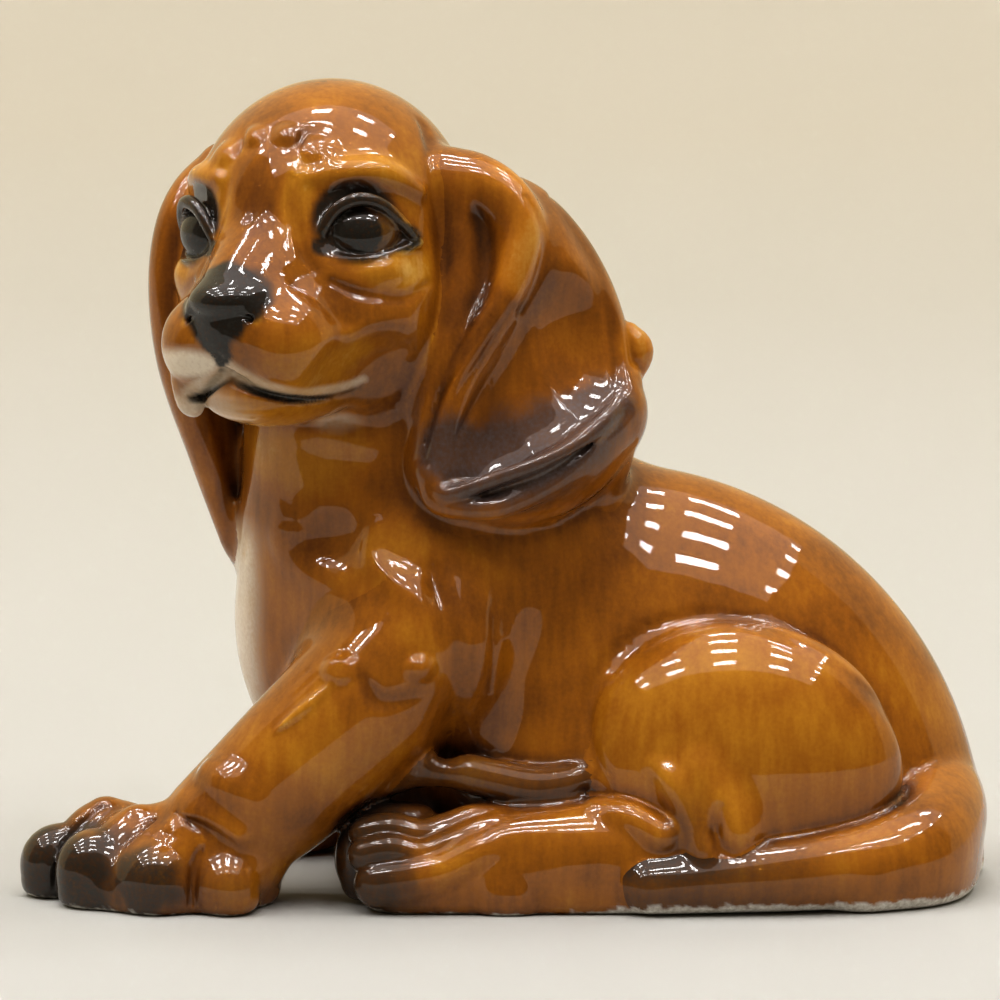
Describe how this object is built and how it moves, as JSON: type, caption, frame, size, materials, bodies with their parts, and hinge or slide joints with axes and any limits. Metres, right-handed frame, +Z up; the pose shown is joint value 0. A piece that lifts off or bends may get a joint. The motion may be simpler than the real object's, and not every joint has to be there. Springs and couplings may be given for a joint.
{
  "type": "dog figurine",
  "caption": "Glazed ceramic dachshund puppy lying down with its head turned and its paws out in front, a free-standing shelf ornament.",
  "frame": {"origin": "on the surface the figurine rests on, under the middle of its bounding box", "axes": "+Z up, +X from the front paws towards the tail, +Y to the dog's right side; the dog's left side, which its face turns to, is -Y"},
  "size_m": [0.162, 0.0842, 0.1351],
  "materials": {
    "caramel_glaze": "high gloss amber brown glaze, darker where it pools",
    "dark_caramel_glaze": "high gloss brown glaze, smoky grey in the hollows of the ear",
    "smoked_glaze": "high gloss brown glaze sprayed blue-black towards the tip"
  },
  "bodies": {
    "root": {"body_casting": "caramel_glaze", "head_casting": "caramel_glaze", "left_ear": "dark_caramel_glaze", "right_ear": "dark_caramel_glaze", "left_foreleg": "caramel_glaze", "right_foreleg": "caramel_glaze", "left_hind_leg": "caramel_glaze", "right_hind_leg": "caramel_glaze", "tail": "smoked_glaze"}
  },
  "joints": []
}
